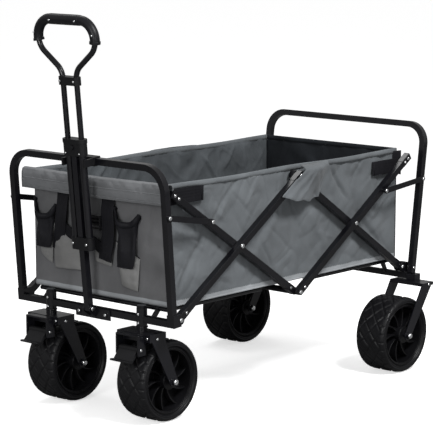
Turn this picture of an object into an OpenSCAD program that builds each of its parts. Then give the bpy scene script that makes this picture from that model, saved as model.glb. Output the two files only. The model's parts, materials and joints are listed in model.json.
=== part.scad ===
// Collapsible folding wagon with wide beach wheels, in millimetres.
// The handle end faces -X, the push bar end faces +X, Z is up, the ground is Z = 0.
// The wagon's own left side is -Y, its right side is +Y.

/* [End frames] */
tube = 16;            // square tube width
wall = 1.4;           // tube wall
pivot_x = 446;        // scissor pivots from the middle, along X
pivot_z = 264;        // lower scissor pivots above ground
rise = 294;           // height of the scissor bars' upper ends above the lower ones
post_gap = 18;        // post centre line behind its scissor pivot
lean_front = 4.5;     // outward lean of the handle end frame, degrees
lean_rear = 7.5;      // outward lean of the push bar end frame, degrees
front_half_w = 254;   // post centre from the middle, handle end
rear_half_w = 264;    // post centre from the middle, push bar end
front_post = 370;     // crossbar to top bar, along the post
rear_post = 385;
front_corner = 58;    // bend radius at the centre line
rear_corner = 50;
crossbar_z = 256;

/* [Scissor sides] */
layer_out = 254;      // outer bar layer, |y|
layer_in = 237;       // inner bar layer, |y|
pin_r = 4;
fit = 0.06;           // running fit, radial
link_q = 132;         // link pivot on the bar, above the crossing
link_p_front = 248.146; // link pivot on the post, above the lower scissor pivot
link_p_rear = 238.487;

/* [Tub] */
tub_x_front = -446;
tub_x_rear = 442;
tub_y = 222;          // inner face of the side panels
floor_z = 287.4;
rim_z = 579;
cloth = 1.6;
shift_x = 22.18;        // puts the whole wagon's middle over the origin

/* [Wheels] */
wheel_r = 100;
wheel_w = 94;
rim_r = 80;
front_wheel_y = 154;
front_trail = 53.5;
rear_wheel_y = 270.5;
rear_wheel_x = 371;

/* [Handle] */
handle_x = -487;
handle_z = 263;
handle_lean = 5.5;
leg_y = 22.5;         // half the spacing of the telescoping legs
leg_r = 6.75;
outer_r = 8.9;
collar_w = 378;       // collar's lower edge, along the handle
clamp_w = 546;
handle_top = 700;     // centre line of the grip bar, along the handle

/* [Hidden] */
$fn = 48;
black = [0.06, 0.06, 0.065];
steel = [0.75, 0.76, 0.78];
grey = [0.36, 0.37, 0.38];
light = [0.5, 0.51, 0.52];
rubber = [0.04, 0.04, 0.042];
plastic = [0.05, 0.05, 0.055];
web = [0.03, 0.03, 0.032];
bar_len = sqrt(4 * pivot_x * pivot_x + 4 * rise * rise) / 2;
bar_ang = atan(rise / pivot_x);
half = bar_len / 2;
cross_x = pivot_x / 2;
cross_z = pivot_z + rise / 2;
// lower scissor pivot above the crossbar line, measured along each leaning post
front_ear_w = (pivot_z - crossbar_z - post_gap * sin(lean_front)) / cos(lean_front);
rear_ear_w = (pivot_z - crossbar_z - post_gap * sin(lean_rear)) / cos(lean_rear);
front_x = -pivot_x - post_gap * cos(lean_front) + front_ear_w * sin(lean_front);
rear_x = pivot_x + post_gap * cos(lean_rear) - rear_ear_w * sin(lean_rear);
front_link_w = front_ear_w + link_p_front;
rear_link_w = rear_ear_w + link_p_rear;
floor_pivot_x = 436;
floor_pivot_z = 280;
floor_len = 335;
rod_r = 5.5;
rod_y = 212;

// ---------- helpers ----------
module on_side(s) {
  if (s < 0) children();
  else mirror([0, 1, 0]) children();
}

// from the tub's own middle to the middle of the whole wagon
module wagon() {
  translate([shift_x, 0, 0]) children();
}

// cylinder along +Y starting at the origin
module ycyl(r, h) {
  rotate([-90, 0, 0]) cylinder(r = r, h = h);
}

module xcyl(r, h) {
  rotate([0, 90, 0]) cylinder(r = r, h = h);
}

// low rivet head pointing to -Y, its base at y = 0
module head(r = 6.5, h = 2.2) {
  rotate([90, 0, 0]) cylinder(r1 = r, r2 = r * 0.6, h = h);
}

module in_front_frame() {
  translate([front_x, 0, crossbar_z]) rotate([0, -lean_front, 0]) children();
}

module in_rear_frame() {
  translate([rear_x, 0, crossbar_z]) rotate([0, lean_rear, 0]) children();
}

// inverted U of square section s, centre line half width w, height h, corner radius r
module u_path(w, h, r, s, low) {
  for (m = [0, 1]) mirror([0, m, 0]) {
    translate([-s / 2, w - s / 2, low]) cube([s, s, h - r - low + 0.4]);
    // the bend is a hair thicker than the straights that run into it
    translate([0, w - r, h - r])
      rotate([0, -90, 0])
        rotate_extrude(angle = 90, $fn = 96)
          translate([r - s / 2 - 0.02, -s / 2 - 0.02]) square([s + 0.04, s + 0.04]);
  }
  translate([-s / 2, -(w - r) - 0.4, h - s / 2]) cube([s, 2 * (w - r) + 0.8, s]);
}

// scissor bar in side coordinates: origin at its lower pivot, +X along the bar, y = 0 its middle
module bar_body(len, over) {
  difference() {
    union() {
      translate([0, -tube / 2, -tube / 2]) cube([len + over, tube, tube]);
      translate([0, -tube / 2, 0]) ycyl(tube / 2, tube);
      // plastic end fittings
      translate([-2, -tube / 2 - 0.01, -tube / 2 - 0.8]) cube([34, tube + 0.02, tube + 1.6]);
      translate([len + over - 36, -tube / 2 - 0.01, -tube / 2 - 0.8]) cube([36, tube + 0.02, tube + 1.6]);
    }
    translate([36, -tube / 2 + wall, -tube / 2 + wall])
      cube([len + over - 76, tube - 2 * wall, tube - 2 * wall]);
    // drain hole on the inner face
    translate([60, 0, 0]) ycyl(2.5, tube);
    // rounds the lower end
    translate([-20, -tube, -20]) cube([14, 2 * tube, 40]);
  }
}

module bar_rivets(places, h) {
  for (x = places) translate([x, -tube / 2, 0]) head(3.6, h);
}

// places a bar on the left side: pivot (x, z), direction dir = +1 towards +X, rising
module place_bar(x, z, dir, y) {
  translate([x, -y, z])
    if (dir > 0) rotate([0, -bar_ang, 0]) children();
    else rotate([0, bar_ang, 0]) mirror([1, 0, 0]) children();
}

// ---------- handle end frame ----------
module front_frame() color(black) wagon() {
  in_front_frame() difference() {
    union() {
      u_path(front_half_w, front_post, front_corner, tube, -8);
      // scissor pivot ears
      for (s = [-1, 1]) on_side(s) {
        translate([0, -265, 0]) front_ear();
        translate([0, -245.6, 0]) front_ear();
        // pads between the ears and the post
        translate([-7.9, -262.5, front_ear_w - 15]) cube([15.4, 0.6, 30]);
        translate([-7.9, -246.1, front_ear_w - 15]) cube([15.4, 0.6, 30]);
      }
    }
    u_path(front_half_w, front_post, front_corner, tube - 2 * wall, -20);
    // link pivot holes in the outer walls
    for (s = [-1, 1]) on_side(s)
      translate([0, -266, front_link_w]) ycyl(3 + fit, 10);
    for (s = [-1, 1]) on_side(s)
      translate([post_gap, -270, front_ear_w]) ycyl(pin_r + fit, 40);
  }
}

module front_ear() {
  difference() {
    union() {
      translate([-7.9, 0, front_ear_w - 15]) cube([26, 2.6, 30]);
      translate([post_gap, 0, front_ear_w]) ycyl(11, 2.6);
    }
    translate([post_gap, -1, front_ear_w]) ycyl(pin_r + fit, 6);
  }
}

module front_crossbar() color(black) wagon() {
  difference() {
    union() {
      in_front_frame() translate([-tube / 2, -242.95, -tube / 2])
        cube([tube, 485.9, tube]);
      // caster sleeves
      for (y = [-front_wheel_y, front_wheel_y])
        translate([front_x, y, 239]) cylinder(r = 13, h = 44);
      // lugs that carry the floor frame's pivot rod
      for (y = [-186, 181]) translate([0, y, 0]) {
        translate([-floor_pivot_x, 0, floor_pivot_z]) ycyl(7.2, 5);
        hull() {
          translate([-floor_pivot_x, 0, floor_pivot_z]) ycyl(6, 5);
          translate([front_x + 2, 0, crossbar_z - 6]) cube([6, 5, 13]);
        }
      }
    }
    in_front_frame() translate([-tube / 2 + wall, -front_half_w, -tube / 2 + wall])
      cube([tube - 2 * wall, 2 * front_half_w, tube - 2 * wall]);
    for (y = [-front_wheel_y, front_wheel_y])
      translate([front_x, y, 230]) cylinder(r = 8 + fit, h = 60);
    for (y = [-188, 179]) translate([-floor_pivot_x, y, floor_pivot_z]) ycyl(rod_r + fit, 9);
  }
  // solid inserts that hold the sleeves inside the hollow bar
  for (y = [-front_wheel_y, front_wheel_y]) difference() {
    translate([front_x, y, 245]) cylinder(r = 11, h = 22);
    translate([front_x, y, 230]) cylinder(r = 8 + fit, h = 60);
  }
}

module handle_bracket() color(black) wagon() {
  difference() {
    union() {
      in_front_frame() translate([-11.2, -58, -18]) cube([3.15, 116, 26]);
      for (y = [-11.6, 8.4]) hull() {
        translate([handle_x, y, handle_z]) ycyl(9.5, 3.2);
        translate([front_x - 11, y, 242]) cube([2, 3.2, 21]);
      }
    }
    translate([handle_x, -14, handle_z]) ycyl(pin_r + fit, 28);
  }
  in_front_frame() for (y = [-44, 44])
    translate([-11.1, y, -6]) rotate([0, -90, 0]) cylinder(r = 5, h = 2.5);
}

// clip on the top bar whose fingers flank the handle's guide tubes
module handle_clip() color(plastic) wagon() {
  w = 365;
  in_front_frame() difference() {
    union() {
      translate([-11, -40, front_post - 11]) cube([22, 80, 22]);
      for (y = [-38.5, 33]) translate([-42, y, front_post - 9]) cube([34, 5.5, 18]);
    }
    translate([-8, -50, front_post - 8]) cube([16, 100, 16]);
  }
}

// ---------- cloth ----------
module front_panel() color(grey) wagon() {
  translate([tub_x_front - cloth, -tub_y - 2, 290]) cube([cloth, 2 * tub_y + 4, rim_z - 291]);
  // light hem and its stiffening band
  translate([tub_x_front - 3.4, -tub_y - 2, 292]) cube([2, 2 * tub_y + 4, 15]);
}

module front_cuff() color(grey) wagon() {
  // folded-over band between the posts
  difference() {
    translate([-473, -243, 534]) cube([25.3, 486, 49]);
    translate([-471.4, -260, 520]) cube([20.8, 520, 61.4]);
    translate([-452, -260, 520]) cube([10, 520, 50]);
    // room for the crossing bars' ends as they fold
    for (s = [-1, 1]) translate([-457, s * 243 - 16, 520]) cube([12, 32, 70]);
  }
}

// half-collapsed drink holder: open top ring, tapering pouch
module cup_pouch(y, w, deep) {
  r = w / 2;
  translate([tub_x_front - cloth - 0.05, y, 0]) intersection() {
    translate([-60, -60, 300]) cube([60, 120, 260]);
    union() {
      difference() {
        scale([0.72, 1, 1]) translate([0, 0, 508 - deep]) cylinder(r1 = r * 0.62, r2 = r, h = deep);
        scale([0.72, 1, 1]) translate([0, 0, 508 - deep + 2])
          cylinder(r1 = r * 0.62 - 2, r2 = r - 2, h = deep);
      }
      scale([0.72, 1, 1]) translate([0, 0, 502]) difference() {
        cylinder(r = r + 1.6, h = 7);
        translate([0, 0, -1]) cylinder(r = r - 2, h = 9);
      }
    }
  }
}

module cup_pouch_left() color(web) wagon() cup_pouch(-98, 76, 178);
module cup_pouch_right() color(web) wagon() cup_pouch(178, 72, 150);

module organizer_straps() color(web) wagon() {
  x = tub_x_front - cloth - 0.05;
  translate([x - 1.8, -57, 308]) cube([1.8, 40, 260]);
  translate([x - 1.8, 100, 308]) cube([1.8, 38, 260]);
  // lower patch that joins both straps
  translate([x - 1.8, -57, 344]) cube([1.7, 195, 92]);
  // buckle on the left strap
  translate([x - 8.5, -56, 452]) difference() {
    cube([7, 42, 34]);
    translate([-1, 6, 6]) cube([4, 30, 6]);
    translate([-1, 6, 15]) cube([4, 30, 6]);
    translate([-1, 6, 24]) cube([4, 30, 5]);
  }
}

module side_panel() {
  y0 = -tub_y - cloth;
  translate([tub_x_front + 1, y0, 288.6]) cube([tub_x_rear - tub_x_front - 2, cloth, rim_z - 288.6]);
  // rim binding and bottom hem
  translate([tub_x_front + 1, y0 - 1.6, rim_z - 11]) cube([tub_x_rear - tub_x_front - 2, 1.7, 11]);
  translate([tub_x_front + 1, y0 - 1.6, 289.5]) cube([tub_x_rear - tub_x_front - 2, 1.7, 12]);
  // hood over the middle joint
  difference() {
    intersection() {
      translate([-96, -269.5, 493]) cube([190, 47, rim_z + 4 - 493]);
      union() {
        translate([-96, -269.5, 515]) cube([190, 47, 80]);
        translate([-1, -222, 585]) ycyl_neg(95, 48);
      }
    }
    translate([-120, -267.9, 480]) cube([240, 267.9 - tub_y - 1, rim_z + 2.4 - 480]);
  }
}

module ycyl_neg(r, h) {
  rotate([90, 0, 0]) cylinder(r = r, h = h, $fn = 96);
}

module side_panel_left() color(grey) wagon() on_side(-1) side_panel();
module side_panel_right() color(grey) wagon() on_side(1) side_panel();

// webbing tabs that go round the tops of the crossing bars
module side_webbing() {
  y0 = -tub_y - cloth - 1.82;
  translate([-436, y0, 528]) cube([108, 1.8, 36]);
  translate([334, y0, 520]) cube([100, 1.8, 36]);
}

module side_webbing_left() color(web) wagon() on_side(-1) side_webbing();
module side_webbing_right() color(web) wagon() on_side(1) side_webbing();

module tub_floor() color(grey) wagon() {
  translate([tub_x_front + 0.4, -tub_y + 0.2, floor_z])
    cube([tub_x_rear - tub_x_front - 0.8, 2 * tub_y - 0.4, cloth]);
}

module floor_mat() color(grey) wagon() {
  translate([tub_x_front + 6, -tub_y + 6, floor_z + cloth + 0.05])
    cube([tub_x_rear - tub_x_front - 12, 2 * tub_y - 12, 9]);
}

// ---------- scissor bars ----------
// lower end on the handle end frame, outer layer
module front_bar() {
  place_bar(-pivot_x, pivot_z, 1, layer_out) {
    bar_body(bar_len, 8);
    bar_rivets([26, bar_len - 19], 1.6);
    // pin in the frame ears
    translate([0, -tube / 2 - 3.3, 0]) ycyl(pin_r, tube + 6.6);
    translate([0, -tube / 2 - 3.2, 0]) head(6, 1.8);
    // crossing pin and its head, with a thin washer between the bars
    translate([half, -tube / 2 - 0.5, 0]) ycyl(pin_r, tube + 18.6);
    translate([half, -tube / 2, 0]) head();
    translate([bar_len, -tube / 2 - 0.5, 0]) ycyl(pin_r, tube + 18.6);
    translate([bar_len, -tube / 2, 0]) head(6, 2);
  }
}

module front_bar_left() color(black) wagon() on_side(-1) front_bar();
module front_bar_right() color(black) wagon() on_side(1) front_bar();

// lower end at the middle, upper end at the handle end, inner layer
module front_cross_bar() {
  difference() {
    union() {
      place_bar(0, pivot_z, -1, layer_in) bar_body(bar_len, 8);
      place_bar(0, pivot_z, -1, layer_in) bar_rivets([bar_len - 19, bar_len - 3], 1.4);
      // bore bosses
      place_bar(0, pivot_z, -1, layer_in) translate([half, -tube / 2, 0]) ycyl(7.6, tube);
      // stand-off for the short link
      place_bar(0, pivot_z, -1, layer_in)
        translate([half + link_q, -25.1, 0]) ycyl(4.5, 20);
    }
    place_bar(0, pivot_z, -1, layer_in) translate([half, -tube, 0]) ycyl(pin_r + fit, 2 * tube);
    place_bar(0, pivot_z, -1, layer_in) translate([0, -tube, 0]) ycyl(pin_r + fit, 2 * tube + 4);
  }
}

module front_cross_bar_left() color(black) wagon() on_side(-1) front_cross_bar();
module front_cross_bar_right() color(black) wagon() on_side(1) front_cross_bar();

// tube under the floor between the two middle joints
module middle_tube() color(black) wagon() {
  difference() {
    translate([0, -layer_in + 8.05, pivot_z]) ycyl(8, 2 * layer_in - 16.1);
    translate([0, -layer_in + 20, pivot_z]) ycyl(6.6, 2 * layer_in - 40);
    translate([0, 0, pivot_z - 12]) cylinder(r = 2.5, h = 12);
    for (m = [0, 1]) mirror([0, m, 0])
      translate([0, -layer_in, pivot_z]) ycyl(pin_r + fit, 12);
  }
}

// lower end on the push bar frame, inner layer
module rear_bar() {
  difference() {
    union() {
      place_bar(pivot_x, pivot_z, -1, layer_in) {
        bar_body(bar_len, 8);
        bar_rivets([26], 0.7);
        translate([bar_len, -tube / 2, 0]) ycyl(7.6, tube);
        // pin in the frame ears
        translate([0, -tube / 2 - 4, 0]) ycyl(pin_r, tube + 7.3);
        // crossing pin outwards through the other bar
        translate([half, -tube / 2 - 18.6, 0]) ycyl(pin_r, 20);
        translate([half, -tube / 2 - 17.5, 0]) head();
      }
    }
    place_bar(pivot_x, pivot_z, -1, layer_in)
      translate([bar_len, -tube, 0]) ycyl(pin_r + fit, 2 * tube);
  }
}

module rear_bar_left() color(black) wagon() on_side(-1) rear_bar();
module rear_bar_right() color(black) wagon() on_side(1) rear_bar();

// lower end at the middle, upper end at the push bar end, outer layer
module rear_cross_bar() {
  difference() {
    union() {
      place_bar(0, pivot_z, 1, layer_out) {
        bar_body(bar_len, 8);
        bar_rivets([20, bar_len - 19, bar_len - 3], 1.6);
        translate([half, -tube / 2, 0]) ycyl(7.6, tube);
        translate([half + link_q, -18, 0]) ycyl(4.5, 12);
        // pin into the middle tube
        translate([0, -tube / 2 - 0.5, 0]) ycyl(pin_r, 37);
        translate([0, -tube / 2, 0]) head(6, 2);
      }
    }
    place_bar(0, pivot_z, 1, layer_out) translate([half, -tube, 0]) ycyl(pin_r + fit, 2 * tube);
  }
}

module rear_cross_bar_left() color(black) wagon() on_side(-1) rear_cross_bar();
module rear_cross_bar_right() color(black) wagon() on_side(1) rear_cross_bar();

// ---------- push bar end frame ----------
module rear_frame() color(black) wagon() {
  in_rear_frame() difference() {
    union() {
      u_path(rear_half_w, rear_post, rear_corner, tube, -8);
      for (s = [-1, 1]) on_side(s) rear_ears();
    }
    u_path(rear_half_w, rear_post, rear_corner, tube - 2 * wall, -20);
    for (s = [-1, 1]) on_side(s)
      translate([0, -276, rear_link_w]) ycyl(3 + fit, 10);
    for (s = [-1, 1]) on_side(s)
      translate([-post_gap, -255, rear_ear_w]) ycyl(pin_r + fit, 40);
  }
}

module rear_ears() {
  w = rear_ear_w;
  // two ears, joined to the post by a cross plate
  for (y = [226, 245.6]) translate([0, -y - 2.6, 0]) difference() {
    union() {
      translate([-post_gap, 0, w - 13]) cube([post_gap + 7.9, 2.6, 26]);
      translate([-post_gap, 0, w]) ycyl(11, 2.6);
    }
    translate([-post_gap, -1, w]) ycyl(pin_r + fit, 6);
  }
  translate([-7.2, -257, w - 13]) cube([15.1, 31, 2.6]);
  translate([5.3, -257, w - 13]) cube([2.6, 31, 26]);
}

module rear_crossbar() color(black) wagon() {
  difference() {
    union() {
      in_rear_frame() translate([-tube / 2, -256.2, -24.1])
        cube([tube, 512.4, tube]);
      for (y = [-186, 181]) translate([0, y, 0]) hull() {
        translate([floor_pivot_x, 0, floor_pivot_z]) ycyl(7.2, 5);
        translate([rear_x - 8, 0, crossbar_z - 20]) cube([6, 5, 11]);
      }
    }
    in_rear_frame() translate([-tube / 2 + wall, -rear_half_w, -24.1 + wall])
      cube([tube - 2 * wall, 2 * rear_half_w, tube - 2 * wall]);
    for (y = [-188, 179]) translate([floor_pivot_x, y, floor_pivot_z]) ycyl(rod_r + fit, 9);
  }
}

module rear_panel() color(grey) wagon() {
  translate([tub_x_rear, -tub_y - 2, 290]) cube([cloth, 2 * tub_y + 4, rim_z - 290]);
  translate([tub_x_rear + 1.5, -tub_y - 2, rim_z - 12]) cube([1.7, 2 * tub_y + 4, 12]);
  translate([tub_x_rear + 1.5, -tub_y - 2, 292]) cube([1.7, 2 * tub_y + 4, 14]);
}

// fixed fork: top plate and two slanting legs, wheel axle between them
module rear_fork(y) {
  translate([0, y, 0]) difference() {
    union() {
      translate([rear_x - 30, -54, 221]) cube([46, 108, 8.5]);
      translate([rear_x - 12, -14, 224]) cube([24, 28, 22.9]);
      for (s = [-1, 1]) translate([0, s * 52.2 - 1.8, 0]) hull() {
        translate([rear_x - 30, 0, 222]) cube([38, 3.6, 6]);
        translate([rear_wheel_x, 0, wheel_r]) ycyl(13, 3.6);
      }
      translate([rear_wheel_x, -58, wheel_r]) ycyl(5, 116);
      for (s = [-1, 1]) translate([rear_wheel_x, s * 54 - (s > 0 ? 0 : 5), wheel_r]) ycyl(8.5, 5);
    }
  }
}

module rear_fork_left() color(black) wagon() rear_fork(-rear_wheel_y);
module rear_fork_right() color(black) wagon() rear_fork(rear_wheel_y);

// ---------- short links ----------
module link_plate(l) {
  union() {
    translate([0, 0, 0]) ycyl(7, 3);
    translate([l, 0, 0]) ycyl(7, 3);
    translate([0, 0, -7]) cube([l, 3, 14]);
    head(5.5, 2);
    translate([l, 0, 0]) head(5.5, 2);
  }
}

// post pivot of the handle end link, in wagon coordinates
fl_px = front_x - sin(lean_front) * front_link_w;
fl_pz = crossbar_z + cos(lean_front) * front_link_w;
fl_bx = -(cross_x + link_q * cos(bar_ang));
fl_bz = cross_z + link_q * sin(bar_ang);
fl_len = norm([fl_bx - fl_px, fl_bz - fl_pz]);
fl_ang = atan2(fl_bz - fl_pz, fl_bx - fl_px);
rl_px = rear_x + sin(lean_rear) * rear_link_w;
rl_pz = crossbar_z + cos(lean_rear) * rear_link_w;
rl_len = norm([-fl_bx - rl_px, fl_bz - rl_pz]);
rl_ang = atan2(fl_bz - rl_pz, -fl_bx - rl_px);

module front_link() {
  translate([fl_px, -265.5, fl_pz]) rotate([0, -fl_ang, 0]) {
    link_plate(fl_len);
    translate([0, 0.1, 0]) ycyl(3, 7);
  }
}

module rear_link() {
  translate([rl_px, -275.5, rl_pz]) rotate([0, -rl_ang, 0]) {
    link_plate(rl_len);
    translate([0, 0.1, 0]) ycyl(3, 7);
  }
}

module front_link_left() color(black) wagon() on_side(-1) front_link();
module front_link_right() color(black) wagon() on_side(1) front_link();
module rear_link_left() color(black) wagon() on_side(-1) rear_link();
module rear_link_right() color(black) wagon() on_side(1) rear_link();

// ---------- floor frames ----------
module floor_frame(s) {
  translate([s * floor_pivot_x, -rod_y - 4, floor_pivot_z]) ycyl(rod_r, 2 * rod_y + 8);
  translate([s * (floor_pivot_x - floor_len), -rod_y - 4, floor_pivot_z]) ycyl(rod_r, 2 * rod_y + 8);
  for (y = [-rod_y, rod_y, 0])
    translate([s > 0 ? floor_pivot_x - floor_len : -floor_pivot_x, y, floor_pivot_z])
      xcyl(rod_r - 0.5, floor_len);
}

module front_floor_frame() color(black) wagon() floor_frame(-1);
module rear_floor_frame() color(black) wagon() floor_frame(1);

// ---------- wheels ----------
module tyre_profile() {
  // half section in (radius, y); the bore sits on the rim
  difference() {
    union() {
      translate([rim_r, -38]) square([8, 76]);
      translate([84, -30]) square([16, 60]);
      for (s = [-1, 1]) translate([83, s * 29]) circle(r = 17, $fn = 64);
    }
    translate([0, -60]) square([rim_r, 120]);
    // room for the rim's lips
    for (s = [-1, 1]) translate([0, s > 0 ? 38 : -60]) square([83.3, 22]);
    // shallow grooves round the tread
    for (y = [-15, 15]) translate([97.6, y - 1.5]) square([4, 3]);
  }
}

module tyre(x, y) {
  translate([x, y, wheel_r]) rotate([90, 0, 0])
    rotate_extrude($fn = 120) tyre_profile();
}

module rim_profile() {
  difference() {
    union() {
      translate([74.5, -38]) square([5.48, 76]);
      // outer lips
      for (s = [-1, 1]) translate([74.5, s * 36.5 - 2]) square([8.6, 4]);
    }
    // the lips stay off the tyre's bore
    for (s = [-1, 1]) translate([rim_r - 0.02, s > 0 ? 30 : -38.1]) square([5, 8.1]);
  }
}

// curved blade from the barrel to the rim on one face
module blade(s) {
  translate([0, 0, s > 0 ? 4.1 : -25])
    linear_extrude(height = 20.9)
      intersection() {
        translate([30, 60]) difference() {
          circle(r = 63, $fn = 64);
          circle(r = 59.6, $fn = 64);
        }
        translate([10, -30]) square([70, 70]);
        difference() {
          circle(r = 74.4, $fn = 96);
          circle(r = 19.3, $fn = 48);
        }
      }
}

// barrel on the axle, web and ten blades on each face
module hub(x, y) {
  translate([x, y, wheel_r]) rotate([90, 0, 0]) {
    rotate_extrude($fn = 96) {
      translate([5.06, -40]) square([14, 80]);
      translate([17, -4]) square([57.4, 8]);
    }
    for (s = [-1, 1]) for (i = [0:9]) rotate([0, 0, i * 36]) blade(s);
  }
}

module rim(x, y) {
  translate([x, y, wheel_r]) rotate([90, 0, 0]) rotate_extrude($fn = 96) rim_profile();
}

front_wheel_x = front_x + front_trail;

module front_tyre_left() color(rubber) wagon() tyre(front_wheel_x, -front_wheel_y);
module front_tyre_right() color(rubber) wagon() tyre(front_wheel_x, front_wheel_y);
module rear_tyre_left() color(rubber) wagon() tyre(rear_wheel_x, -rear_wheel_y);
module rear_tyre_right() color(rubber) wagon() tyre(rear_wheel_x, rear_wheel_y);
module front_hub_left() color(plastic) wagon() hub(front_wheel_x, -front_wheel_y);
module front_hub_right() color(plastic) wagon() hub(front_wheel_x, front_wheel_y);
module rear_hub_left() color(plastic) wagon() hub(rear_wheel_x, -rear_wheel_y);
module rear_hub_right() color(plastic) wagon() hub(rear_wheel_x, rear_wheel_y);
module front_rim_left() color(plastic) wagon() rim(front_wheel_x, -front_wheel_y);
module front_rim_right() color(plastic) wagon() rim(front_wheel_x, front_wheel_y);
module rear_rim_left() color(plastic) wagon() rim(rear_wheel_x, -rear_wheel_y);
module rear_rim_right() color(plastic) wagon() rim(rear_wheel_x, rear_wheel_y);

// ---------- casters ----------
module caster_fork(y) {
  translate([0, y, 0]) {
    // swivel stem with a cap above the sleeve
    translate([front_x, 0, 226]) cylinder(r = 8, h = 61);
    translate([front_x, 0, 283.4]) cylinder(r = 11.5, h = 5);
    translate([front_x, 0, 226]) cylinder(r = 13, h = 12.6);
    // boxy top plate
    difference() {
      translate([front_x - 30, -54, 208]) cube([56, 108, 19]);
      translate([front_x - 26, -50.4, 200]) cube([60, 100.8, 24.4]);
    }
    // slanting legs
    for (s = [-1, 1]) translate([0, s * 52.2 - 1.8, 0]) hull() {
      translate([front_x - 22, 0, 209]) cube([40, 3.6, 14]);
      translate([front_wheel_x, 0, wheel_r]) ycyl(13, 3.6);
    }
    translate([front_wheel_x, -58, wheel_r]) ycyl(5, 116);
    for (s = [-1, 1]) translate([front_wheel_x, s * 54 - (s > 0 ? 0 : 5), wheel_r]) ycyl(8.5, 5);
    // brake housing cheeks in front of the plate
    for (yy = [-37, 33]) difference() {
      translate([front_x - 52, yy, 176]) cube([26, 4, 50]);
      translate([front_x - 42, yy - 1, 190]) ycyl(3 + fit, 6);
    }
    translate([front_x - 52, -37, 222]) cube([26, 74, 4]);
  }
}

module caster_fork_left() color(black) wagon() caster_fork(-front_wheel_y);
module caster_fork_right() color(black) wagon() caster_fork(front_wheel_y);

// pedal between the cheeks, turning on a cross pin
module brake_pedal(y) {
  translate([front_x - 42, y, 190]) difference() {
    union() {
      translate([0, -30, 0]) ycyl(8, 60);
      hull() {
        translate([0, -29, 0]) ycyl(5, 58);
        translate([-24, -29, -26]) ycyl(3, 58);
      }
      hull() {
        translate([-24, -29, -26]) ycyl(3, 58);
        translate([-36, -29, -24]) ycyl(2.5, 58);
      }
    }
  }
  translate([front_x - 42, y - 36, 190]) ycyl(3, 72);
}

module brake_pedal_left() color(plastic) wagon() brake_pedal(-front_wheel_y);
module brake_pedal_right() color(plastic) wagon() brake_pedal(front_wheel_y);

// ---------- handle ----------
// handle coordinates: origin at the pivot, Z along the handle, Y across
module in_handle() {
  translate([handle_x, 0, handle_z]) rotate([0, -handle_lean, 0]) children();
}

module stadium(r, w, h) {
  for (s = [-1, 1]) translate([0, s * w, 0]) cylinder(r = r, h = h);
  translate([-r, -w, 0]) cube([2 * r, 2 * w, h]);
}

module handle_stem() color(black) wagon() in_handle() {
  difference() {
    union() {
      translate([-8, -8, 0]) cube([16, 16, 388]);
      translate([0, -8, 0]) ycyl(8, 16);
    }
    translate([-8 + wall, -8 + wall, 20]) cube([16 - 2 * wall, 16 - 2 * wall, 380]);
  }
  translate([0, -12.5, 0]) ycyl(pin_r, 25);
  translate([0, -11.9, 0]) head(6, 2.4);
  translate([0, 11.9, 0]) mirror([0, 1, 0]) head(6, 2.4);
}

module handle_guides() color(black) wagon() in_handle() {
  for (s = [-1, 1]) translate([0, s * leg_y, 152]) difference() {
    cylinder(r = outer_r, h = 250);
    translate([0, 0, 4]) cylinder(r = leg_r + 0.4, h = 260);
  }
}

// lower block that clamps the guide tubes to the stem
module handle_block() color(plastic) wagon() in_handle() difference() {
  union() {
    translate([0, 0, 148]) stadium(11.4, leg_y, 30);
    for (y = [-leg_y, leg_y]) translate([-11.3, y, 163]) rotate([0, -90, 0]) cylinder(r = 4, h = 1.8);
  }
  for (s = [-1, 1]) translate([0, s * leg_y, 151.9]) cylinder(r = outer_r + 0.05, h = 40);
  translate([-8.05, -8.05, 140]) cube([16.1, 16.1, 50]);
}

module handle_collar() color(plastic) wagon() in_handle() difference() {
  union() {
    translate([0, 0, collar_w]) stadium(12.4, leg_y, 40);
    translate([0, 0, collar_w + 30]) stadium(13.6, leg_y, 10);
  }
  // guide tubes stop below the lip, the legs run through
  for (s = [-1, 1]) translate([0, s * leg_y, collar_w - 1]) cylinder(r = outer_r + 0.05, h = 25.2);
  for (s = [-1, 1]) translate([0, s * leg_y, collar_w]) cylinder(r = leg_r + 0.06, h = 60);
  translate([-8.05, -8.05, collar_w - 1]) cube([16.1, 16.1, 11.2]);
  // button recess
  translate([-20, 0, collar_w + 20]) rotate([0, 90, 0]) cylinder(r = 6.3, h = 15);
}

module handle_button() color(plastic) wagon() in_handle()
  translate([-15.4, 0, collar_w + 20]) rotate([0, 90, 0]) cylinder(r = 6, h = 6);

loop_turn = 52;       // how far the legs flare, degrees
loop_r1 = 40;
loop_r2 = 43.7;
loop_run = 49.3;

module loop_half(r) {
  // hollow leg, flare, straight run, big corner; the straights run a little into the bends
  difference() {
    translate([0, leg_y, 334]) cylinder(r = r, h = 226.4);
    translate([0, leg_y, 330]) cylinder(r = r - wall, h = 200);
  }
  translate([0, leg_y + loop_r1, 560]) rotate([90, 0, 90])
    rotate([0, 0, 180 - loop_turn]) rotate_extrude(angle = loop_turn, $fn = 96)
      translate([loop_r1, 0]) circle(r = r + 0.02, $fn = 48);
  translate([0, leg_y + loop_r1 * (1 - cos(loop_turn)), 560 + loop_r1 * sin(loop_turn)])
    rotate([-loop_turn, 0, 0]) translate([0, 0, -0.4]) cylinder(r = r, h = loop_run + 0.8);
  translate([0, corner_y(), corner_z()]) rotate([90, 0, 90])
    rotate([0, 0, loop_turn * -1]) rotate_extrude(angle = 90 + loop_turn, $fn = 96)
      translate([loop_r2, 0]) circle(r = r + 0.02, $fn = 48);
}

function corner_y() = leg_y + loop_r1 * (1 - cos(loop_turn)) + loop_run * sin(loop_turn)
  - loop_r2 * cos(loop_turn);
function corner_z() = 560 + loop_r1 * sin(loop_turn) + loop_run * cos(loop_turn)
  + loop_r2 * sin(loop_turn);

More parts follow.
